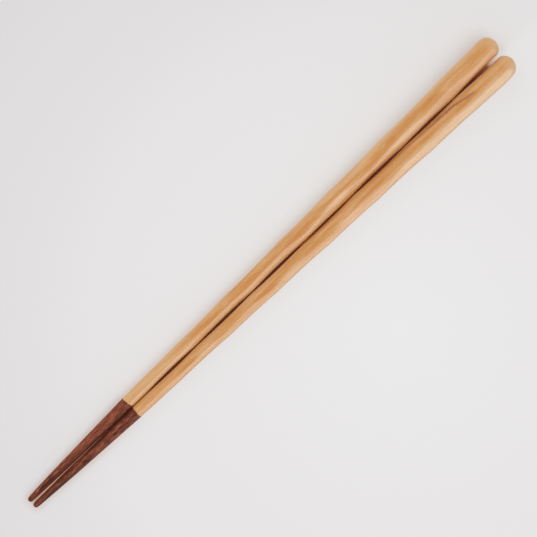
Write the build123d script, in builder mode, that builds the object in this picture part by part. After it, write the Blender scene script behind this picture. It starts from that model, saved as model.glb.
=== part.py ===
from build123d import *
from math import atan, cos, degrees, radians, sin, tan
import os

os.makedirs("parts", exist_ok=True)

# A pair of hand-whittled chopsticks with lacquered tips, lying side by side on their undersides.
# +Y runs from the tips to the butts, +Z is up, and the origin is under the middle of the pair.
# All sizes are in millimetres and angles in degrees.

# One stick. Widths are measured across opposite facets, over the ridges between knife strokes.
STICK_LENGTH = 230.0
TIP_WIDTH = 1.8
NECK_WIDTH = 2.85  # where the blunt point of the tip turns into its long taper
NECK_AT = 15.0  # from the tip
SHOULDER_WIDTH = 4.65  # where the taper of the tip turns into the gentle one of the handle
SHOULDER_AT = 56.0
BUTT_WIDTH = 8.7
TIP_LEAN = 0.4  # the tip is pared more on its outer side, so its end lies nearer the other stick
ROD_WIDTH = 10.5  # the round rod that the stick is whittled from, wider than the butt's corners
EASE = 12.0  # slope of the short cone that leads the facets' corners into the dome at each end

# The knife: each stroke on the handle cuts a shallow cup of this radius along the stick.
KNIFE_RADIUS = 260.0

# Each column of facets faces outwards at an angle from straight up, positive towards +X.
# The numbers beside the angle are the lengths of its strokes, from the shoulder to the butt.
LEFT_COLUMNS = {
    -95: (18.0, 25.0, 28.0, 24.0, 26.0, 30.0, 23.0),
    -54: (10.0, 26.0, 24.5, 29.0, 23.0, 27.0, 25.0),
    -9: (20.5, 24.0, 25.0, 28.0, 30.0, 23.5, 26.0),
    36: (20.7, 29.2, 30.4, 30.5, 28.0, 25.2),
    90: (25.0, 26.0, 27.0, 21.0, 26.0, 24.0, 34.0),
    133: (14.0, 25.0, 23.5, 26.0, 24.0, 28.0, 25.0),
    219: (12.0, 26.0, 29.0, 24.0, 25.5, 23.0, 27.0),
}
RIGHT_COLUMNS = {
    -90: (26.0, 25.0, 27.0, 22.0, 25.0, 25.0, 34.0),
    -40: (19.0, 23.5, 20.0, 25.0, 26.5, 22.0, 24.0),
    -6: (10.0, 18.6, 19.1, 22.1, 26.0, 24.8, 24.0, 26.4),
    34: (14.5, 19.5, 24.3, 28.4, 27.9, 20.6, 17.5, 17.3),
    80: (12.0, 24.0, 21.5, 26.0, 23.0, 25.5, 22.0),
    131: (22.0, 20.0, 25.0, 24.0, 26.0, 21.5, 25.0),
    225: (15.0, 25.5, 22.5, 24.0, 27.0, 23.0, 24.0),
}
UNDERSIDE = 180  # the face that the stick lies on: one long flat facet, with no cups

# The upper edge of each inner flank is pared too, in lighter strokes whose ridges stand higher.
EDGE_RAISED = 1.07  # the height of those ridges over that of the others
LEFT_EDGE = {63: (24.0, 30.0, 28.0, 14.0, 30.0, 24.0, 26.0)}
RIGHT_EDGE = {-65: (22.0, 26.0, 24.0, 30.0, 28.0, 24.0, 26.0)}

# The brown lacquer on each tip, and how far its edge leans from square
LACQUER_LENGTH = 48.8
LACQUER_THICKNESS = 0.08
LEFT_BORDER_SLANT = 8.0
RIGHT_BORDER_SLANT = -3.0

# How the pair lies: the clearance between the lacquer on the two inner flanks
PAIR_GAP = 0.04

# Half the taper of each stretch, as rise over run
point_taper = (NECK_WIDTH - TIP_WIDTH) / 2 / NECK_AT
tip_taper = (SHOULDER_WIDTH - NECK_WIDTH) / 2 / (SHOULDER_AT - NECK_AT)
handle_taper = (BUTT_WIDTH - SHOULDER_WIDTH) / 2 / (STICK_LENGTH - SHOULDER_AT)
clear = 2 * ROD_WIDTH  # how far the knife's cuts run past the wood


def height(at):
    """Height of a facet's ridges above the middle of the stick, at a distance from the tip."""
    if at < NECK_AT:
        return TIP_WIDTH / 2 + point_taper * at
    if at < SHOULDER_AT:
        return NECK_WIDTH / 2 + tip_taper * (at - NECK_AT)
    return SHOULDER_WIDTH / 2 + handle_taper * (at - SHOULDER_AT)


def lie(side):
    """Plane of one stick, x along its axis from the tip: side is -1 for the left, 1 for the right.

    The axis rises and splays by half the handle's taper, which lays the handle's underside flat
    on the ground and its inner flank along the other stick's.
    """
    pitch = atan(handle_taper)
    splay = atan(sin(pitch))
    rise = (SHOULDER_WIDTH / 2 - handle_taper * SHOULDER_AT) * cos(pitch)
    apart = rise + LACQUER_THICKNESS + PAIR_GAP / 2
    splayed = Plane(
        origin=(side * apart, -STICK_LENGTH / 2, rise),
        x_dir=(side * sin(splay), cos(splay), 0),
        z_dir=(0, 0, 1),
    )
    return Plane(splayed * Rotation(0, -degrees(pitch), 0))


def lean(side):
    """Plane of one stick's leaning tip, x along its middle, which meets the axis at the shoulder."""
    turn = degrees(atan(TIP_LEAN / SHOULDER_AT))
    return Plane(lie(side) * Location((0, side * TIP_LEAN, 0), (0, 0, -side * turn)))


def rod(plane, radius, start, end, ball, coat):
    """Half outline of a length of rod, its end eased into a dome of the radius given by ball."""
    way = 1 if end > start else -1
    centre = end - way * ball
    with BuildSketch(plane) as outline:
        with BuildLine():
            if way > 0:
                dome = CenterArc((centre, 0), ball + coat, 0, 90 - EASE)
                crown, edge = dome @ 0, dome @ 1
            else:
                dome = CenterArc((centre, 0), ball + coat, 90 + EASE, 90 - EASE)
                crown, edge = dome @ 1, dome @ 0
            widens_to = edge.X - way * (radius - edge.Y) / tan(radians(EASE))
            Polyline(edge, (widens_to, radius), (start, radius), (start, 0), crown)
        make_face()
    return outline.sketch


def stroke_ends(lengths):
    """Places along the handle where one stroke ends and the next begins, up to past the butt."""
    ends = [SHOULDER_AT]
    while ends[-1] < STICK_LENGTH:
        ends.append(ends[-1] + lengths[(len(ends) - 1) % len(lengths)])
    return ends


def chips(side, angle, ends, coat, raised=1):
    """Outline of what one column of strokes pares away, cupped between the ends of the strokes."""
    far = max(ends[-1], STICK_LENGTH) + clear
    inward = -side * sin(radians(angle))

    def ridge(at):
        leaning = TIP_LEAN * (1 - min(at, SHOULDER_AT) / SHOULDER_AT)
        return (at, height(at) * raised + coat + leaning * inward)

    with BuildSketch(Plane(lie(side) * Rotation(90 + angle, 0, 0))) as outline:
        with BuildLine():
            Polyline(ridge(-clear), ridge(NECK_AT), ridge(SHOULDER_AT))
            for start, end in zip(ends, ends[1:]):
                RadiusArc(ridge(start), ridge(end), -KNIFE_RADIUS)
            Polyline(ridge(ends[-1]), ridge(far), (far, clear), (-clear, clear), ridge(-clear))
        make_face()
    return outline.sketch


def whittle(side, columns, edge, coat=0.0):
    """One whittled stick, grown all over by the thickness of a coat."""
    joined_at = (NECK_AT + SHOULDER_AT) / 2
    thin, thick = ROD_WIDTH / 3, ROD_WIDTH / 2  # radii of the rod round the tip and the handle
    tip = rod(lean(side), thin, SHOULDER_AT, 0, height(0), coat)
    handle = rod(lie(side), thick, joined_at, STICK_LENGTH, height(STICK_LENGTH), coat)
    with BuildPart() as rounded:
        revolve(tip, axis=Axis(lean(side).origin, lean(side).x_dir))
        revolve(handle, axis=Axis(lie(side).origin, lie(side).x_dir))
    with BuildPart() as stick:
        with Locations(Plane(lie(side) * Location((STICK_LENGTH / 2, 0, 0)))):
            Box(STICK_LENGTH + ROD_WIDTH, ROD_WIDTH, ROD_WIDTH)
        flat = chips(side, UNDERSIDE, [SHOULDER_AT], coat)
        extrude(flat, amount=clear, both=True, mode=Mode.SUBTRACT)
        for raised, group in ((1, columns), (EDGE_RAISED, edge)):
            for angle, lengths in group.items():
                cups = chips(side, angle, stroke_ends(lengths), coat, raised)
                extrude(cups, amount=clear, both=True, mode=Mode.SUBTRACT)
        add(rounded.part, mode=Mode.INTERSECT)
    return stick.part


def border(side, slant):
    """Plane across one stick where its lacquer ends, facing the tip."""
    square = Plane(lie(side) * Location((LACQUER_LENGTH, 0, 0), (0, 0, slant)))
    return Plane(origin=square.origin, z_dir=-square.x_dir)


# Left stick, one piece of wood from tip to butt
with BuildPart() as chopstick_left:
    add(whittle(-1, LEFT_COLUMNS, LEFT_EDGE))
chopstick_left.part.label = "chopstick_left"

# Right stick, with facets of its own
with BuildPart() as chopstick_right:
    add(whittle(1, RIGHT_COLUMNS, RIGHT_EDGE))
chopstick_right.part.label = "chopstick_right"

# Lacquer on the left tip, a skin closed over the wood
with BuildPart() as lacquer_tip_left:
    add(whittle(-1, LEFT_COLUMNS, LEFT_EDGE, coat=LACQUER_THICKNESS))
    split(bisect_by=border(-1, LEFT_BORDER_SLANT))
    add(chopstick_left.part, mode=Mode.SUBTRACT)
lacquer_tip_left.part.label = "lacquer_tip_left"

# Lacquer on the right tip
with BuildPart() as lacquer_tip_right:
    add(whittle(1, RIGHT_COLUMNS, RIGHT_EDGE, coat=LACQUER_THICKNESS))
    split(bisect_by=border(1, RIGHT_BORDER_SLANT))
    add(chopstick_right.part, mode=Mode.SUBTRACT)
lacquer_tip_right.part.label = "lacquer_tip_right"

export_step(chopstick_left.part, "parts/chopstick_left.step")
export_step(chopstick_right.part, "parts/chopstick_right.step")
export_step(lacquer_tip_left.part, "parts/lacquer_tip_left.step")
export_step(lacquer_tip_right.part, "parts/lacquer_tip_right.step")
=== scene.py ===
import math

import bmesh
import bpy
import numpy as np
from mathutils import Matrix, Vector


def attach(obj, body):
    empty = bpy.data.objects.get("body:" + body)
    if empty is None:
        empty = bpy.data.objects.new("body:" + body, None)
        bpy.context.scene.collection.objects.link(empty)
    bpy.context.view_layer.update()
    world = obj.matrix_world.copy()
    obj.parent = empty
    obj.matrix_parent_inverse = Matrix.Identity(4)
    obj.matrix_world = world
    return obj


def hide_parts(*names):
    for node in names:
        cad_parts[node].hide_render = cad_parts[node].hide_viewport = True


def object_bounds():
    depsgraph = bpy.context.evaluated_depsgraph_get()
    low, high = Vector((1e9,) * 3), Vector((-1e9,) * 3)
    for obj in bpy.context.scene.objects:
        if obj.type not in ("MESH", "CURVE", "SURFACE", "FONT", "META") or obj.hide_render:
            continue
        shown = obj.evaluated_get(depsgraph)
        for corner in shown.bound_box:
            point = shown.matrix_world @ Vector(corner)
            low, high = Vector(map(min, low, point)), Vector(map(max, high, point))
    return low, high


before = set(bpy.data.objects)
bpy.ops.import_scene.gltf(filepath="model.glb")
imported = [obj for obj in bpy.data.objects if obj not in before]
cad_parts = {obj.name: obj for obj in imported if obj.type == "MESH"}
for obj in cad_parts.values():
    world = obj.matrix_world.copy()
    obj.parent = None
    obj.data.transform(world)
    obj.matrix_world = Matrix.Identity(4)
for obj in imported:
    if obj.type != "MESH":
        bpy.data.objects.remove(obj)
cad_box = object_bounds()


# The two sticks. Each is one length of bamboo, whittled down with a knife from a round rod in
# columns of short scooped strokes, then oiled. They lie side by side on one flat facet each.
# Sizes are in millimetres and angles in degrees until the mesh is made.

STICK_LENGTH = 230.0
TIP_WIDTH = 1.8
NECK_WIDTH = 2.85
NECK_AT = 15.0
SHOULDER_WIDTH = 4.65
SHOULDER_AT = 56.0
BUTT_WIDTH = 8.7
TIP_LEAN = 0.4  # the tips lean towards each other
EASE = 12.0  # slope of the cone between the facets' corners and the dome at each end
KNIFE_RADIUS = 260.0
LACQUER_THICKNESS = 0.08
PAIR_GAP = 0.04  # between the lacquer on the two tips
MM = 0.001

handle_taper = (BUTT_WIDTH - SHOULDER_WIDTH) / 2 / (STICK_LENGTH - SHOULDER_AT)

# Facing angle of each column of facets, from straight up towards +X, and the lengths of its
# strokes from the shoulder to the butt. The underside has no strokes. The upper edge of each
# inner flank is pared in lighter strokes, whose ridges stand higher.
EDGE_RAISED = 1.07
STICKS = {
    "left": {
        "side": -1,
        "columns": {
            -95: (18.0, 25.0, 28.0, 24.0, 26.0, 30.0, 23.0),
            -54: (10.0, 26.0, 24.5, 29.0, 23.0, 27.0, 25.0),
            -9: (20.5, 24.0, 25.0, 28.0, 30.0, 23.5, 26.0),
            36: (20.7, 29.2, 30.4, 30.5, 28.0, 25.2),
            90: (25.0, 26.0, 27.0, 21.0, 26.0, 24.0, 34.0),
            133: (14.0, 25.0, 23.5, 26.0, 24.0, 28.0, 25.0),
            180: (),
            219: (12.0, 26.0, 29.0, 24.0, 25.5, 23.0, 27.0),
        },
        "edge": {63: (24.0, 30.0, 28.0, 14.0, 30.0, 24.0, 26.0)},
    },
    "right": {
        "side": 1,
        "columns": {
            -90: (26.0, 25.0, 27.0, 22.0, 25.0, 25.0, 34.0),
            -40: (19.0, 23.5, 20.0, 25.0, 26.5, 22.0, 24.0),
            -6: (10.0, 18.6, 19.1, 22.1, 26.0, 24.8, 24.0, 26.4),
            34: (14.5, 19.5, 24.3, 28.4, 27.9, 20.6, 17.5, 17.3),
            80: (12.0, 24.0, 21.5, 26.0, 23.0, 25.5, 22.0),
            131: (22.0, 20.0, 25.0, 24.0, 26.0, 21.5, 25.0),
            180: (),
            225: (15.0, 25.5, 22.5, 24.0, 27.0, 23.0, 24.0),
        },
        "edge": {-65: (22.0, 26.0, 24.0, 30.0, 28.0, 24.0, 26.0)},
    },
}


def stick_axes(side):
    """The tip's place and the stick's own directions: along, right and up, in the row frame."""
    pitch = math.atan(handle_taper)
    splay = math.atan(math.sin(pitch))
    rise = (SHOULDER_WIDTH / 2 - handle_taper * SHOULDER_AT) * math.cos(pitch)
    apart = rise + LACQUER_THICKNESS + PAIR_GAP / 2
    level = np.array([side * math.sin(splay), math.cos(splay), 0.0])
    vertical = np.array([0.0, 0.0, 1.0])
    along = math.cos(pitch) * level + math.sin(pitch) * vertical
    up = math.cos(pitch) * vertical - math.sin(pitch) * level
    right = np.array([math.cos(splay), -side * math.sin(splay), 0.0])
    tip = np.array([side * apart, -STICK_LENGTH / 2, rise])
    return tip, along, right, up


FINE = 0.1  # spacing of the samples that outlines are worked out on
fine_at = np.arange(-20.0, STICK_LENGTH + 60.0, FINE)
RIDGE_WEAR = 0.7  # how far along the stick the oiling cloth has rounded each ridge
TAPER_BLEND = 2.5  # over which one taper runs into the next


def softened(outline, spread):
    """An outline sampled on fine_at, blurred along the stick."""
    reach = int(3 * spread / FINE)
    weights = np.exp(-0.5 * (np.arange(-reach, reach + 1) * FINE / spread) ** 2)
    padded = np.pad(outline, reach, mode="reflect", reflect_type="odd")
    return np.convolve(padded, weights / weights.sum(), mode="valid")


point_taper = (NECK_WIDTH - TIP_WIDTH) / 2 / NECK_AT
ridge_line = np.interp(fine_at, [NECK_AT, SHOULDER_AT], [NECK_WIDTH / 2, SHOULDER_WIDTH / 2])
ridge_line += np.minimum(fine_at - NECK_AT, 0) * point_taper
ridge_line += np.maximum(fine_at - SHOULDER_AT, 0) * handle_taper
ridge_line = softened(ridge_line, TAPER_BLEND)
lean_line = softened(TIP_LEAN * (1 - np.minimum(fine_at, SHOULDER_AT) / SHOULDER_AT), TAPER_BLEND)


def leaning_tip(side):
    """Where a stick's middle line comes out of its leaning tip."""
    tip, along, right, up = stick_axes(side)
    return tip - side * lean_line[np.searchsorted(fine_at, 0)] * right


def column_outline(lengths, raised=1.0):
    """Heights of one column of cups over the stick's middle, sampled on fine_at."""
    cups = np.zeros(len(fine_at))
    start = SHOULDER_AT
    number = 0
    while lengths and start < STICK_LENGTH:
        length = lengths[number % len(lengths)]
        inside = (fine_at > start) & (fine_at < start + length)
        off_middle = fine_at[inside] - start - length / 2
        deepest = math.sqrt(KNIFE_RADIUS**2 - (length / 2) ** 2)
        cups[inside] = np.sqrt(KNIFE_RADIUS**2 - off_middle**2) - deepest
        start += length
        number += 1
    return ridge_line * raised - softened(cups, RIDGE_WEAR)


def dome_limit(at, coat):
    """Radius of the round ends: a ball, then the short cone that leads into the facets."""
    limit = np.full(at.shape, np.inf)
    slope = math.tan(math.radians(EASE))
    for radius, centre, way in (
        (TIP_WIDTH / 2, TIP_WIDTH / 2, -1),
        (BUTT_WIDTH / 2, STICK_LENGTH - BUTT_WIDTH / 2, 1),
    ):
        ball = radius + coat
        outward = way * (at - centre)
        cone_from = ball * math.sin(math.radians(EASE))
        on_ball = np.sqrt(np.clip(ball**2 - outward**2, 0, None))
        on_cone = ball * math.cos(math.radians(EASE)) + (cone_from - outward) * slope
        limit = np.minimum(limit, np.where(outward > cone_from, on_ball, on_cone))
    return limit


EDGE_SHARPNESS = 42.0  # how crisp the edges between facets are, relative to the stick's thickness
LEAST_FACING = 0.05  # a facet turned away further than this has no part in a point's radius


def stick_surface(stick, at, around, coat=0.0):
    """Points of a whittled stick's surface, grown by a coat, in metres in the row frame.

    at is the distance from the tip and around the angle from straight up, as arrays of one shape.
    """
    crispness = EDGE_SHARPNESS / np.interp(at, fine_at, ridge_line)
    total = np.exp(-crispness * dome_limit(at, coat))
    for raised, group in ((1.0, stick["columns"]), (EDGE_RAISED, stick["edge"])):
        for angle, lengths in group.items():
            height = np.interp(at, fine_at, column_outline(lengths, raised))
            facing = np.clip(np.cos(around - math.radians(angle)), LEAST_FACING, None)
            total += np.exp(-crispness * (height + coat) / facing)
    radius = np.clip(-np.log(total) / crispness, 0, None)
    tip, along, right, up = stick_axes(stick["side"])
    lean = np.interp(at, fine_at, lean_line) * -stick["side"]
    outward = np.sin(around)[..., None] * right + np.cos(around)[..., None] * up
    points = tip + at[..., None] * along + lean[..., None] * right + radius[..., None] * outward
    points *= MM
    points[..., 2] = np.maximum(points[..., 2], cad_box[0].z)  # nothing dips into the table
    return points


def closed_skin(name, start, rings, end):
    """A closed mesh: rings of points joined by quads, closed by a fan of triangles at each end."""
    count = len(rings)
    around = len(rings[0])
    points = [tuple(start)] + [tuple(p) for ring in rings for p in ring] + [tuple(end)]
    faces = []
    for k in range(around):
        after = (k + 1) % around
        faces.append((0, 1 + after, 1 + k))
        for i in range(count - 1):
            low = 1 + i * around
            faces.append((low + k, low + after, low + around + after, low + around + k))
        low = 1 + (count - 1) * around
        faces.append((low + k, low + after, len(points) - 1))
    mesh = bpy.data.meshes.new(name)
    mesh.from_pydata(points, [], faces)
    skin = bmesh.new()
    skin.from_mesh(mesh)
    bmesh.ops.recalc_face_normals(skin, faces=skin.faces)
    skin.to_mesh(mesh)
    skin.free()
    mesh.polygons.foreach_set("use_smooth", [True] * len(mesh.polygons))
    piece = bpy.data.objects.new(name, mesh)
    bpy.context.scene.collection.objects.link(piece)
    return piece


def hex_colour(code):
    """An sRGB hex colour as Blender's linear one."""
    parts = [int(code[i : i + 2], 16) / 255 for i in (0, 2, 4)]
    linear = [p / 12.92 if p <= 0.04045 else ((p + 0.055) / 1.055) ** 2.4 for p in parts]
    return (*linear, 1.0)


def add_node(material, kind, inputs=(), stops=(), **settings):
    """Adds one node. An input is a value or another node's output, a stop a place and a colour."""
    made = material.node_tree.nodes.new(kind)
    for setting, value in settings.items():
        setattr(made, setting, value)
    for socket, value in dict(inputs).items():
        if isinstance(value, bpy.types.NodeSocket):
            material.node_tree.links.new(value, made.inputs[socket])
        else:
            made.inputs[socket].default_value = value
    for number, (place, hex_code) in enumerate(stops):
        ramp = made.color_ramp.elements
        element = ramp[number] if number < 2 else ramp.new(place)
        element.position = place
        element.color = hex_colour(hex_code)
    return made


def stick_coordinates(material, side):
    """The shader's place in the stick, in millimetres: x along it from the tip, z up."""
    tip, along, right, up = stick_axes(side)
    turn = Matrix([along, -right, up]).transposed().to_euler()
    place = add_node(material, "ShaderNodeTexCoord").outputs["Object"]
    return add_node(
        material,
        "ShaderNodeMapping",
        {"Vector": place, "Location": Vector(tip * MM), "Rotation": turn, "Scale": (MM, MM, MM)},
        vector_type="TEXTURE",
    ).outputs["Vector"]


def grain_pattern(material, kind, place, length, width, offset=(0, 0, 0), **inputs):
    """A texture drawn out along the grain, to patches of a real length and width in millimetres."""
    scaled = add_node(
        material,
        "ShaderNodeMapping",
        {"Vector": place, "Location": offset, "Scale": (1 / length, 1 / width, 1 / width)},
    )
    return add_node(material, kind, {"Vector": scaled.outputs[0], "Scale": 1.0, **inputs})


def layered_tone(material, base, layers):
    """A tone built up from a base and layers, each a pattern times its weight."""
    tone = base
    for pattern, weight in layers:
        tone = add_node(
            material, "ShaderNodeMath", {0: pattern, 1: weight, 2: tone}, operation="MULTIPLY_ADD"
        ).outputs[0]
    return tone


def lensed(material, tone, place, lenses, ragged):
    """Darkens or lightens a tone in long lenses whose ends run out raggedly.

    Each lens gives its distance from the tip, its place to the right of the stick's middle, its
    half length and half width, all in millimetres, and how much it changes the tone.
    """
    for lens_at, to_right, half_length, half_width, change in lenses:
        from_lens = add_node(
            material,
            "ShaderNodeMapping",
            {
                "Vector": place,
                "Location": (lens_at, -to_right, 0),
                "Scale": (half_length, half_width, 1000),
            },
            vector_type="TEXTURE",
        ).outputs["Vector"]
        from_lens = add_node(
            material, "ShaderNodeVectorMath", {0: from_lens}, operation="LENGTH"
        ).outputs["Value"]
        from_lens = add_node(
            material, "ShaderNodeMath", {0: ragged, 1: 0.8, 2: from_lens}, operation="MULTIPLY_ADD"
        ).outputs[0]
        in_lens = add_node(
            material,
            "ShaderNodeMapRange",
            {"Value": from_lens, "From Min": 0.9, "From Max": 1.6, "To Min": change, "To Max": 0.0},
            interpolation_type="SMOOTHSTEP",
        ).outputs["Result"]
        tone = add_node(
            material, "ShaderNodeMath", {0: tone, 1: in_lens}, operation="ADD"
        ).outputs[0]
    return tone


def faded(material, share, fades):
    """A share times each fade, whose level changes while a value goes from low to high."""
    for value, low, high, before, after in fades:
        fade = add_node(
            material,
            "ShaderNodeMapRange",
            {"Value": value, "From Min": low, "From Max": high, "To Min": before, "To Max": after},
        ).outputs["Result"]
        share = add_node(
            material, "ShaderNodeMath", {0: share, 1: fade}, operation="MULTIPLY"
        ).outputs[0]
    return share


def off_bent_line(material, across, along, stretches):
    """How far a place lies across from a line that bends once.

    Each stretch gives where it starts and ends along, and how far across it adds at each end.
    """
    for start, end, at_start, at_end in stretches:
        line = add_node(
            material,
            "ShaderNodeMapRange",
            {
                "Value": along,
                "From Min": start,
                "From Max": end,
                "To Min": at_start,
                "To Max": at_end,
            },
        ).outputs["Result"]
        across = add_node(
            material, "ShaderNodeMath", {0: across, 1: line}, operation="SUBTRACT"
        ).outputs[0]
    return across


def flank_tints_and_painted_light(material, colour, place, side, half_widths, tints_and_painted_light, ragged=None):
    """Tints a colour along a stick's two flanks. Lengths are in millimetres. Some tints are the
    material's own tone, others painted shade or a painted sheen.

    half_widths gives the stick's half width at two distances from the tip. Each tint runs in from
    the inner flank, 1, or the outer one, -1: it is full up to one reach and gone by the next. Its
    share and hex colour follow, and the distances from the tip over which it comes in.
    """
    (start, start_half), (end, end_half) = half_widths
    parts = add_node(material, "ShaderNodeSeparateXYZ", {"Vector": place}).outputs
    half_width = add_node(
        material,
        "ShaderNodeMapRange",
        {
            "Value": parts["X"],
            "From Min": start,
            "From Max": end,
            "To Min": start_half,
            "To Max": end_half,
        },
    ).outputs["Result"]
    if ragged:
        half_width = add_node(
            material, "ShaderNodeMath", {0: ragged, 1: 0.5, 2: half_width}, operation="MULTIPLY_ADD"
        ).outputs[0]
    for towards, nearest, furthest, most, hex_code, none_at, full_at in tints_and_painted_light:
        reach = add_node(
            material,
            "ShaderNodeMath",
            {0: parts["Y"], 1: -towards * side, 2: half_width},
            operation="MULTIPLY_ADD",
        ).outputs[0]
        share = add_node(
            material,
            "ShaderNodeMapRange",
            {
                "Value": reach,
                "From Min": nearest,
                "From Max": furthest,
                "To Min": most,
                "To Max": 0.0,
            },
            interpolation_type="SMOOTHSTEP",
        ).outputs["Result"]
        share = faded(material, share, [(parts["X"], none_at, full_at, 0.0, 1.0)])
        colour = add_node(
            material,
            "ShaderNodeMix",
            {0: share, 6: colour, 7: hex_colour(hex_code)},
            data_type="RGBA",
        ).outputs[2]
    return colour


def whittled_bamboo(stick_name, side):
    """Oiled bamboo: satin, with tan ground tissue and darker fibres in lens-shaped patches."""
    material = bpy.data.materials.new(f"oiled_bamboo_{stick_name}")
    material.use_nodes = True
    links = material.node_tree.links
    surface = material.node_tree.nodes["Principled BSDF"]
    place = stick_coordinates(material, side)
    seed = 183.8 if side > 0 else 244.9

    # The grain wanders sideways by half a millimetre or so over a hand's width
    wander = grain_pattern(material, "ShaderNodeTexNoise", place, 60, 9, (seed, 0, 0), Detail=1.0)
    grain_place = add_node(
        material,
        "ShaderNodeVectorMath",
        {0: wander.outputs["Color"], 1: (0.0, 1.8, 1.8), 2: place},
        operation="MULTIPLY_ADD",
    ).outputs[0]

    # Where the knife runs out of one layer of fibres into the next it leaves a long lens,
    # about 22 mm by 1.8 mm
    lenses = grain_pattern(
        material,
        "ShaderNodeTexNoise",
        grain_place,
        22,
        1.8,
        (seed, seed, 0),
        Detail=2.0,
        Roughness=0.5,
        Distortion=0.3,
    )
    lens_tone = add_node(
        material,
        "ShaderNodeMapRange",
        {"Value": lenses.outputs["Fac"], "From Min": 0.34, "From Max": 0.66},
        interpolation_type="SMOOTHSTEP",
    ).outputs["Result"]

    # Streaks of lighter and darker fibres, about 9 mm by 0.5 mm
    streaks = grain_pattern(
        material,
        "ShaderNodeTexNoise",
        grain_place,
        9,
        0.5,
        (0, seed, seed),
        Detail=2.0,
        Roughness=0.6,
    ).outputs["Fac"]

    # Fibre bundles stand 0.5 mm apart, drawn at their real size: hairlines along the sides and
    # dots on the round ends
    bundles = grain_pattern(material, "ShaderNodeTexVoronoi", grain_place, 30, 0.5)
    bundle_tone = add_node(
        material,
        "ShaderNodeMapRange",
        {"Value": bundles.outputs["Distance"], "From Min": 0.12, "From Max": 0.34},
        interpolation_type="SMOOTHSTEP",
    ).outputs["Result"]

    # Pores and saw-toothed ends of fibres, about 1.2 mm by 0.25 mm
    flecks = grain_pattern(
        material, "ShaderNodeTexNoise", place, 1.2, 0.25, (seed, 0, seed), Detail=1.0
    ).outputs["Fac"]
    tone = layered_tone(
        material, -0.11, [(streaks, 0.5), (lens_tone, 0.34), (bundle_tone, 0.12), (flecks, 0.45)]
    )

    # Each stick's plainest lenses
    if side > 0:
        plain_lenses = [
            (73.5, 0.1, 5.0, 0.8, -0.22),
            (83.0, 0.4, 5.0, 1.2, 0.25),
            (96.0, -0.4, 6.0, 0.8, -0.12),
            (112.0, 0.1, 6.0, 1.2, -0.18),
            (123.0, 1.4, 7.0, 0.8, 0.15),
            (138.0, 0.0, 9.0, 1.4, -0.13),
            (161.0, -0.5, 10.0, 0.9, -0.2),
            (190.0, -0.3, 5.0, 0.7, -0.15),
        ]
    else:
        plain_lenses = [
            (87.0, -0.1, 11.0, 0.7, -0.16),
            (112.0, -0.5, 7.0, 0.8, -0.1),
            (134.0, 0.0, 9.0, 1.2, -0.14),
            (151.0, 1.0, 6.0, 1.1, 0.3),
            (172.0, -1.0, 3.0, 0.6, -0.2),
            (179.5, -1.1, 3.0, 0.7, -0.2),
            (184.0, 1.4, 9.0, 1.0, 0.1),
            (199.0, -0.25, 6.0, 1.4, -0.25),
        ]
    tone = lensed(material, tone, place, plain_lenses, ragged=streaks)
    ground = add_node(
        material,
        "ShaderNodeValToRGB",
        {"Fac": tone},
        stops=[
            (0.25, "c77f38"),
            (0.42, "cb8842"),
            (0.60, "ce9353"),
            (0.78, "d49e66"),
            (0.95, "dbaf7e"),
        ],
    ).outputs["Color"]

    # Growth bands run along the wood. Painted shade darkens the inner flanks, where the sticks face
    # each other, to red-brown, and to orange on the left stick near its butt; a painted sheen makes
    # the outer flanks pale, and the round ends are painted paler.
    if side > 0:
        tints_and_painted_light = [
            (1, 0.1, 0.8, 0.25, "b06a4c", 51.0, 80.0),
            (-1, 2.0, 2.9, 0.3, "c98a45", 150.0, 125.0),
            (1, 9.0, 10.0, 0.12, "c98a45", 106.0, 85.0),
            (-1, 2.4, 4.2, 0.5, "e0bf97", 145.0, 200.0),
        ]
    else:
        tints_and_painted_light = [
            (-1, 9.0, 10.0, 0.35, "e2bb8e", 82.0, 60.0),
            (-1, 0.8, 2.2, 0.45, "deb78c", 120.0, 150.0),
            (1, 0.15, 1.0, 0.35, "a85a38", 145.0, 175.0),
            (1, 1.2, 2.0, 0.75, "c88a46", 200.0, 213.0),
            (1, 1.7, 2.5, 0.4, "cd9450", 115.0, 85.0),
        ]
    tints_and_painted_light.append((-1, 0.2, 0.9, 0.5, "e4c096", 51.0, 106.0))
    handle = ((SHOULDER_AT, SHOULDER_WIDTH / 2), (STICK_LENGTH, BUTT_WIDTH / 2))
    ground = flank_tints_and_painted_light(material, ground, place, side, handle, tints_and_painted_light)
    parts = add_node(material, "ShaderNodeSeparateXYZ", {"Vector": place}).outputs
    # The round ends are painted paler: paler end grain and a painted highlight.
    at_end = add_node(
        material,
        "ShaderNodeMapRange",
        {"Value": parts["X"], "From Min": 224.5, "From Max": 228.5, "To Min": 0.0, "To Max": 0.6},
    ).outputs["Result"]
    ground = add_node(
        material, "ShaderNodeMix", {0: at_end, 6: ground, 7: hex_colour("deb688")}, data_type="RGBA"
    ).outputs[2]

    if side > 0:
        # A brown mineral streak runs out of the inner flank of the right stick near its butt: it
        # comes in slowly, bends towards the outer flank and stops
        off_streak = off_bent_line(
            material, parts["Y"], parts["X"], [(164.0, 202.0, 3.3, 2.5), (202.0, 212.0, 0.0, -1.55)]
        )
        off_streak = add_node(
            material, "ShaderNodeMath", {0: flecks, 1: 1.3, 2: off_streak}, operation="MULTIPLY_ADD"
        ).outputs[0]
        off_streak = add_node(
            material, "ShaderNodeMath", {0: off_streak, 1: 0.65}, operation="SUBTRACT"
        ).outputs[0]
        off_streak = add_node(
            material, "ShaderNodeMath", {0: off_streak}, operation="ABSOLUTE"
        ).outputs[0]
        in_streak = faded(
            material,
            1.0,
            [
                (off_streak, 0.2, 0.65, 1.0, 0.0),
                (parts["X"], 160.0, 200.0, 0.0, 0.95),
                (parts["X"], 210.0, 213.0, 1.0, 0.0),
                (parts["Z"], 0.3, 1.0, 0.0, 1.0),
            ],
        )
        ground = add_node(
            material,
            "ShaderNodeMix",
            {0: in_streak, 6: ground, 7: hex_colour("a66438")},
            data_type="RGBA",
        ).outputs[2]

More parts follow.
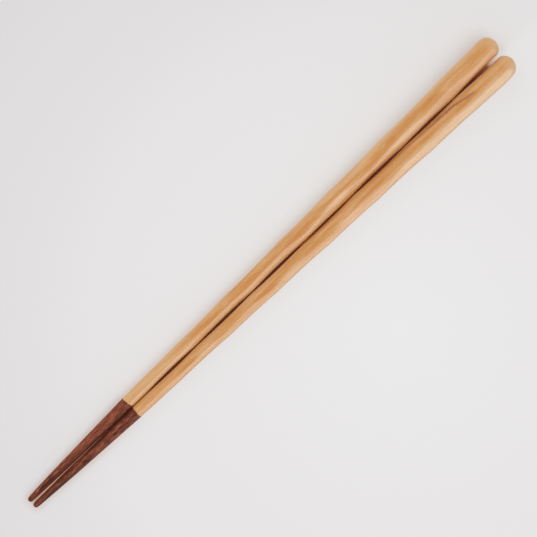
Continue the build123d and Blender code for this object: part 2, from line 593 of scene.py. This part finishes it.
    links.new(ground, surface.inputs["Base Color"])
    surface.inputs["Roughness"].default_value = 0.45
    surface.inputs["IOR"].default_value = 1.5
    height = add_node(
        material, "ShaderNodeMath", {0: bundle_tone, 1: 0.5, 2: flecks}, operation="MULTIPLY_ADD"
    ).outputs[0]
    bump = add_node(
        material, "ShaderNodeBump", {"Height": height, "Strength": 0.35, "Distance": 0.06 * MM}
    )
    links.new(bump.outputs["Normal"], surface.inputs["Normal"])
    return material


AROUND = 112  # points round a stick
STEP = 0.5  # between one ring of points and the next
turns = np.arange(AROUND) / AROUND * 2 * math.pi
# Angles over the round ends, from the very end to where the ball is widest
tip_steps = np.linspace(0, math.pi / 2, 14)[1:-1]
butt_steps = np.linspace(0, math.pi / 2, 30)[1:-1]
for stick_name, stick in STICKS.items():
    tip_ball = TIP_WIDTH / 2 * (1 - np.cos(tip_steps))
    butt_ball = STICK_LENGTH - BUTT_WIDTH / 2 * (1 - np.cos(butt_steps))
    straight = np.arange(TIP_WIDTH / 2, STICK_LENGTH - BUTT_WIDTH / 2, STEP)
    places = np.concatenate([tip_ball, straight, butt_ball[::-1]])
    at, around = np.meshgrid(places, turns, indexing="ij")
    tip, along, right, up = stick_axes(stick["side"])
    piece = closed_skin(
        f"whittled_stick_{stick_name}",
        leaning_tip(stick["side"]) * MM,
        stick_surface(stick, at, around),
        (tip + STICK_LENGTH * along) * MM,
    )
    piece.data.materials.append(whittled_bamboo(stick_name, stick["side"]))
    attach(piece, "root")
    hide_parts(f"chopstick_{stick_name}")


# The lacquer on the tips. A brown plant lacquer is wiped on thinly over the wood, so it fills
# the fibres and stands a hair proud; its edge is brushed freehand and bleeds along the fibres.

LACQUER_LENGTH = 48.8
BLEED = 0.5  # how far the lacquer crept past where the brush stopped
EDGE_ROUNDING = 0.1  # over which the coat's edge falls to the wood
UNDER_WOOD = 0.03  # how far the coat's hidden inner face lies inside the wood
BORDER_SLANT = {"left": 8.0, "right": -3.0}  # how far its edge leans from square


def border_at(side, slant, around):
    """Distance from the tip to the coat's edge, for each angle round the stick."""
    rng = np.random.default_rng(7 + side)
    reach = SHOULDER_WIDTH / 2 * np.sin(around)
    edge = LACQUER_LENGTH + BLEED + reach * math.tan(math.radians(slant))
    for waves, depth in ((5, 0.07), (11, 0.06), (23, 0.07), (37, 0.05)):
        edge = edge + depth * np.sin(waves * around + rng.uniform(0, 2 * math.pi))
    return edge


def wiped_lacquer(stick_name, side):
    """Brown lacquer wiped thin: nearly matt, and the wood's fibres glow through in short flecks."""
    material = bpy.data.materials.new(f"wiped_brown_lacquer_{stick_name}")
    material.use_nodes = True
    links = material.node_tree.links
    surface = material.node_tree.nodes["Principled BSDF"]
    place = stick_coordinates(material, side)
    seed = 20.0 + 7.0 * side

    # Bands of thicker and thinner lacquer along the grain, about 9 mm by 0.7 mm
    bands = grain_pattern(
        material, "ShaderNodeTexNoise", place, 9, 0.7, (seed, seed, 0), Detail=2.0
    ).outputs["Fac"]
    # Flecks of bare fibre, about 2 mm by 0.4 mm
    flecks = grain_pattern(
        material, "ShaderNodeTexNoise", place, 2, 0.4, (0, seed, seed), Detail=2.0
    ).outputs["Fac"]
    tone = layered_tone(material, -0.75, [(bands, 1.1), (flecks, 1.5)])

    # The lacquer pooled in some places and was wiped barer in others
    if side > 0:
        pools = [
            (9.5, 0.5, 6.0, 0.45, -0.3),
            (24.2, 0.4, 2.2, 0.7, -0.3),
            (30.5, 0.3, 3.0, 0.7, 0.15),
            (38.0, 0.3, 2.0, 0.7, -0.15),
            (43.0, 0.5, 2.5, 0.6, -0.2),
        ]
    else:
        pools = [
            (8.5, 0.6, 4.0, 0.5, -0.35),
            (10.0, -0.1, 5.0, 0.4, -0.15),
            (29.0, 0.0, 5.5, 0.6, 0.2),
        ]
    tone = lensed(material, tone, place, pools, ragged=flecks)
    colour = add_node(
        material,
        "ShaderNodeValToRGB",
        {"Fac": tone},
        stops=[
            (0.22, "4a2418"),
            (0.40, "6a3425"),
            (0.56, "793f2d"),
            (0.72, "8b4b35"),
            (0.88, "a56041"),
        ],
    ).outputs["Color"]

    # Painted shade darkens the lacquer along the inner sides, where the sticks face each other: on
    # the left stick widest at the tip, on the right stick at its tip and towards the handle. On the
    # right stick's outer side near the tip the lacquer is darker too, and on the left stick's outer
    # side it is redder.
    if side > 0:
        tints_and_painted_light = [
            (1, 9.0, 10.0, 0.15, "431f15", 28.0, 12.0),
            (1, 0.5, 0.8, 0.35, "431f15", 30.0, 10.0),
            (1, 0.7, 1.3, 0.85, "451d13", 8.0, 36.0),
            (-1, 1.3, 1.8, 0.7, "431f15", 40.0, 14.0),
        ]
    else:
        tints_and_painted_light = [
            (-1, 2.4, 3.2, 0.2, "ae5f41", 13.0, 24.0),
            (1, 1.1, 1.7, 0.6, "451d13", 30.0, 14.0),
            (1, 0.5, 1.05, 0.6, "451d13", 0.0, 8.0),
        ]
    taper = ((NECK_AT, NECK_WIDTH / 2), (SHOULDER_AT, SHOULDER_WIDTH / 2))
    colour = flank_tints_and_painted_light(material, colour, place, side, taper, tints_and_painted_light, ragged=flecks)
    links.new(colour, surface.inputs["Base Color"])
    surface.inputs["Roughness"].default_value = 0.7
    surface.inputs["IOR"].default_value = 1.5
    surface.inputs["Specular IOR Level"].default_value = 0.12
    bump = add_node(
        material, "ShaderNodeBump", {"Height": flecks, "Strength": 0.4, "Distance": 0.06 * MM}
    )
    links.new(bump.outputs["Normal"], surface.inputs["Normal"])
    return material


for stick_name, stick in STICKS.items():
    edge = border_at(stick["side"], BORDER_SLANT[stick_name], turns)
    coated_ball = TIP_WIDTH / 2 - (TIP_WIDTH / 2 + LACQUER_THICKNESS) * np.cos(tip_steps)
    straight = np.arange(TIP_WIDTH / 2, LACQUER_LENGTH - 2, STEP)
    # Each ring of points gives its distance from the tip and the thickness of the coat there.
    # The outer face runs from the tip to the edge and round it.
    rings = [(np.full(AROUND, a), LACQUER_THICKNESS) for a in [*coated_ball, *straight]]
    for share in np.linspace(0, 1, 8)[1:]:
        last_stretch = edge - EDGE_ROUNDING - straight[-1]
        rings.append((straight[-1] + share * last_stretch, LACQUER_THICKNESS))
    for fall in np.linspace(0, math.pi / 2, 5)[1:]:
        rounded = EDGE_ROUNDING * (1 - math.sin(fall))
        rings.append((edge - rounded, LACQUER_THICKNESS * math.cos(fall)))
    # The inner face runs back to the tip, just under the wood's surface
    rings.append((edge, -UNDER_WOOD))
    inner_ball = TIP_WIDTH / 2 * (1 - np.cos(tip_steps)) + UNDER_WOOD
    rings += [(np.full(AROUND, a), -UNDER_WOOD) for a in [*straight[::-4], *inner_ball[::-1]]]
    tip, along, right, up = stick_axes(stick["side"])
    piece = closed_skin(
        f"lacquered_tip_{stick_name}",
        (leaning_tip(stick["side"]) - LACQUER_THICKNESS * along) * MM,
        [stick_surface(stick, at, turns, coat) for at, coat in rings],
        (leaning_tip(stick["side"]) + UNDER_WOOD * along) * MM,
    )
    piece.data.materials.append(wiped_lacquer(stick_name, stick["side"]))
    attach(piece, "root")
    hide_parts(f"lacquer_tip_{stick_name}")


# The floor. A sheet of matt pale card lies under the pair, wider than any view of it, with the
# pair's shadow on it, and painted shade and painted light in the pair's brown beside and between
# the sticks. Its places are in metres.

FLOOR_REACH = 3.0
floor_mesh = bpy.data.meshes.new("card_floor")
corners = [(-1, -1), (1, -1), (1, 1), (-1, 1)]
floor_mesh.from_pydata(
    [(x * FLOOR_REACH, y * FLOOR_REACH, 0) for x, y in corners], [], [(0, 1, 2, 3)]
)
floor = bpy.data.objects.new("card_floor", floor_mesh)
floor.location.z = cad_box[0].z
bpy.context.scene.collection.objects.link(floor)
card = bpy.data.materials.new("matt_pale_card")
card.use_nodes = True
card_surface = card.node_tree.nodes["Principled BSDF"]
card_surface.inputs["Roughness"].default_value = 0.9
card_surface.inputs["Specular IOR Level"].default_value = 0.1

# The card is an even pale grey to the eye, with a painted pool of light on it, to the lower right
# of the pair: its tone darkens softly away from there.
PAINTED_POOL_MIDDLE = (0.0456, 0.021, 0.0)
PAINTED_POOL_RADIUS = 0.18
card_place = add_node(card, "ShaderNodeTexCoord").outputs["Object"]
from_painted_pool = add_node(
    card, "ShaderNodeVectorMath", {0: card_place, 1: PAINTED_POOL_MIDDLE}, operation="DISTANCE"
).outputs["Value"]
from_painted_pool = add_node(
    card, "ShaderNodeMath", {0: from_painted_pool, 1: PAINTED_POOL_RADIUS}, operation="DIVIDE"
).outputs[0]
card_tone = add_node(
    card,
    "ShaderNodeValToRGB",
    {"Fac": from_painted_pool},
    stops=[
        (0.0, "ecebeb"),
        (0.62, "e7e5e5"),
        (0.72, "e4e2e2"),
        (1.0, "dfdcdd"),
    ],
).outputs["Color"]
card.node_tree.links.new(card_tone, card_surface.inputs["Base Color"])

# In the narrow gap painted shade and painted bounced light stand in for the light that bounces
# between the flanks: brown between the lacquered tips, nearly black between the handles, and the
# card's own tone again at the round ends
card_parts = add_node(card, "ShaderNodeSeparateXYZ", {"Vector": card_place}).outputs
along_gap = add_node(
    card, "ShaderNodeMapRange", {"Value": card_parts["Y"], "From Min": -0.12, "From Max": 0.12}
).outputs["Result"]
gap_painted_shade = add_node(
    card,
    "ShaderNodeValToRGB",
    {"Fac": along_gap},
    stops=[
        (0.03, "c19a85"),
        (0.06, "c8977e"),
        (0.10, "b87559"),
        (0.145, "a2624b"),
        (0.18, "4c1e16"),
        (0.92, "50211a"),
        (0.949, "804630"),
        (0.956, "c4a08a"),
        (0.978, "e6e3e2"),
    ],
).outputs["Color"]
from_middle = add_node(
    card, "ShaderNodeMath", {0: card_parts["X"]}, operation="ABSOLUTE"
).outputs[0]
from_waist = add_node(card, "ShaderNodeMath", {0: card_parts["Y"]}, operation="ABSOLUTE").outputs[0]
in_gap = add_node(
    card,
    "ShaderNodeMapRange",
    {"Value": from_middle, "From Min": 0.0006, "From Max": 0.0026, "To Min": 1.0, "To Max": 0.0},
    interpolation_type="SMOOTHSTEP",
).outputs["Result"]
in_gap = faded(card, in_gap, [(from_waist, 0.1135, 0.116, 1.0, 0.0)])

# Beside the sticks a painted shade, tinted with the brown light they bounce, lies on the card: on
# the left nearly all along, and on the right beside the lacquered tip. A stick's edge moves out
# first fast, then slowly.
off_edge = off_bent_line(
    card,
    from_middle,
    card_parts["Y"],
    [(-0.112, -0.066, 0.002, 0.0047), (-0.066, 0.11, 0.0, 0.0039)],
)
painted_halo = add_node(
    card,
    "ShaderNodeMapRange",
    {"Value": off_edge, "From Min": 0.0, "From Max": 0.003, "To Min": 0.5, "To Max": 0.0},
    interpolation_type="SMOOTHSTEP",
).outputs["Result"]
painted_halo = faded(card, painted_halo, [(from_waist, 0.115, 0.118, 1.0, 0.0)])
painted_halo_left = faded(
    card,
    painted_halo,
    [(card_parts["Y"], -0.068, -0.058, 1.0, 0.58), (card_parts["Y"], 0.045, 0.085, 1.0, 0.0)],
)
painted_halo_right = faded(card, painted_halo, [(card_parts["Y"], -0.087, -0.066, 1.0, 0.0)])
to_right = add_node(
    card, "ShaderNodeMapRange", {"Value": card_parts["X"], "From Min": -0.0015, "From Max": 0.0015}
).outputs["Result"]
painted_halo = add_node(
    card, "ShaderNodeMix", {0: to_right, 2: painted_halo_left, 3: painted_halo_right}
).outputs[0]
glow_tone = add_node(
    card, "ShaderNodeMix", {0: painted_halo, 6: card_tone, 7: hex_colour("d8b8a2")}, data_type="RGBA"
).outputs[2]
glow_tone = add_node(
    card, "ShaderNodeMix", {0: in_gap, 6: glow_tone, 7: gap_painted_shade}, data_type="RGBA"
).outputs[2]


def looked_at(material):
    """1 where the eye sees a surface, straight or in a gloss or glass, and 0 where it lights."""
    ray = add_node(material, "ShaderNodeLightPath").outputs
    seen = ray["Is Camera Ray"]
    for kind in ("Is Glossy Ray", "Is Transmission Ray"):
        seen = add_node(
            material, "ShaderNodeMath", {0: seen, 1: ray[kind]}, operation="MAXIMUM"
        ).outputs[0]
    return seen


# The share of what the eye sees that is the card's own tone. The rest is the lit card, with the
# pair's shadow. A larger share on the right, where the light comes from, at the thin tips and away
# from the pair paints the shadow softer there: painted light.
SOFT_SHARE = 0.78
GAP_SHARE = 0.9
left_share = faded(card, 1.0, [(card_parts["Y"], -0.115, 0.115, 0.55, 0.22)])
past_ends = add_node(
    card, "ShaderNodeMapRange", {"Value": from_waist, "From Min": 0.115, "From Max": 0.16}
).outputs["Result"]
far_left = add_node(
    card, "ShaderNodeMapRange", {"Value": from_middle, "From Min": 0.14, "From Max": 0.24}
).outputs["Result"]
away = add_node(
    card, "ShaderNodeMath", {0: past_ends, 1: far_left}, operation="MAXIMUM"
).outputs[0]
share = add_node(card, "ShaderNodeMix", {0: away, 2: left_share, 3: SOFT_SHARE}).outputs[0]
share = add_node(card, "ShaderNodeMix", {0: to_right, 2: share, 3: SOFT_SHARE}).outputs[0]
share = add_node(card, "ShaderNodeMix", {0: in_gap, 2: share, 3: GAP_SHARE}).outputs[0]
share = add_node(
    card, "ShaderNodeMath", {0: looked_at(card), 1: share}, operation="MULTIPLY"
).outputs[0]
glow = add_node(card, "ShaderNodeEmission", {"Color": glow_tone, "Strength": 1.0})
seen = add_node(
    card,
    "ShaderNodeMixShader",
    {"Fac": share, 1: card_surface.outputs["BSDF"], 2: glow.outputs["Emission"]},
).outputs["Shader"]
card.node_tree.links.new(seen, card.node_tree.nodes["Material Output"].inputs["Surface"])
floor_mesh.materials.append(card)


# The light. A broad soft box above and to the right of the pair, one above its left, and a long
# low strip on the right that only glosses, with pale walls all round.

world = bpy.data.worlds.new("pale_studio")
bpy.context.scene.world = world
world.use_nodes = True
sky = world.node_tree.nodes["Background"]
sky.inputs["Color"].default_value = hex_colour("ffffff")
sky.inputs["Strength"].default_value = 0.75
seen_sky = add_node(
    world, "ShaderNodeBackground", {"Color": hex_colour("e7e5e5"), "Strength": 1.0}
)
sky_mix = add_node(
    world,
    "ShaderNodeMixShader",
    {"Fac": looked_at(world), 1: sky.outputs[0], 2: seen_sky.outputs[0]},
).outputs["Shader"]
world.node_tree.links.new(sky_mix, world.node_tree.nodes["World Output"].inputs["Surface"])


def soft_box(name, width, height, distance, elevation, energy):
    """A flat lamp facing the pair, to its right or, past an elevation of 90 degrees, its left."""
    lamp = bpy.data.lights.new(name, "AREA")
    lamp.shape = "RECTANGLE"
    lamp.size = height
    lamp.size_y = width
    lamp.energy = energy
    placed = bpy.data.objects.new(name, lamp)
    tilt = math.radians(elevation)
    placed.location = Vector((math.cos(tilt), 0.0, math.sin(tilt))) * distance
    placed.rotation_euler = (0.0, math.pi / 2 - tilt, 0.0)
    bpy.context.scene.collection.objects.link(placed)
    return placed


soft_box("key_box", width=0.7, height=0.7, distance=1.1, elevation=58, energy=2.1)
soft_box("fill_box", width=0.8, height=0.8, distance=1.1, elevation=145, energy=2.2)
gloss = soft_box("gloss_strip", width=1.6, height=0.4, distance=1.2, elevation=15, energy=18.0)
gloss.visible_diffuse = False


# The camera. It looks straight down, turned so that the pair runs from the lower left of the
# picture, where the tips are, to the upper right.

PICTURE_WIDTH = 188.5  # how many millimetres the picture is wide, at the level below
PICTURE_LEVEL = 3.6  # over the floor, about halfway up the sticks
PICTURE_MIDDLE = (-1.97, 2.61)
PAIR_TURN = 46.18  # how far the pair is turned clockwise from upright in the picture, in degrees
LENS = 85.0
SENSOR = 36.0
camera = bpy.data.objects.new("camera", bpy.data.cameras.new("camera"))
camera.data.lens = LENS
camera.data.sensor_width = SENSOR
camera.rotation_euler = (0.0, 0.0, math.radians(PAIR_TURN))
height = PICTURE_WIDTH * LENS / SENSOR + PICTURE_LEVEL
camera.location = Vector((*PICTURE_MIDDLE, height)) * MM
camera.data.clip_start = 0.01
bpy.context.scene.collection.objects.link(camera)
bpy.context.scene.camera = camera

bpy.context.scene.view_settings.view_transform = "Standard"
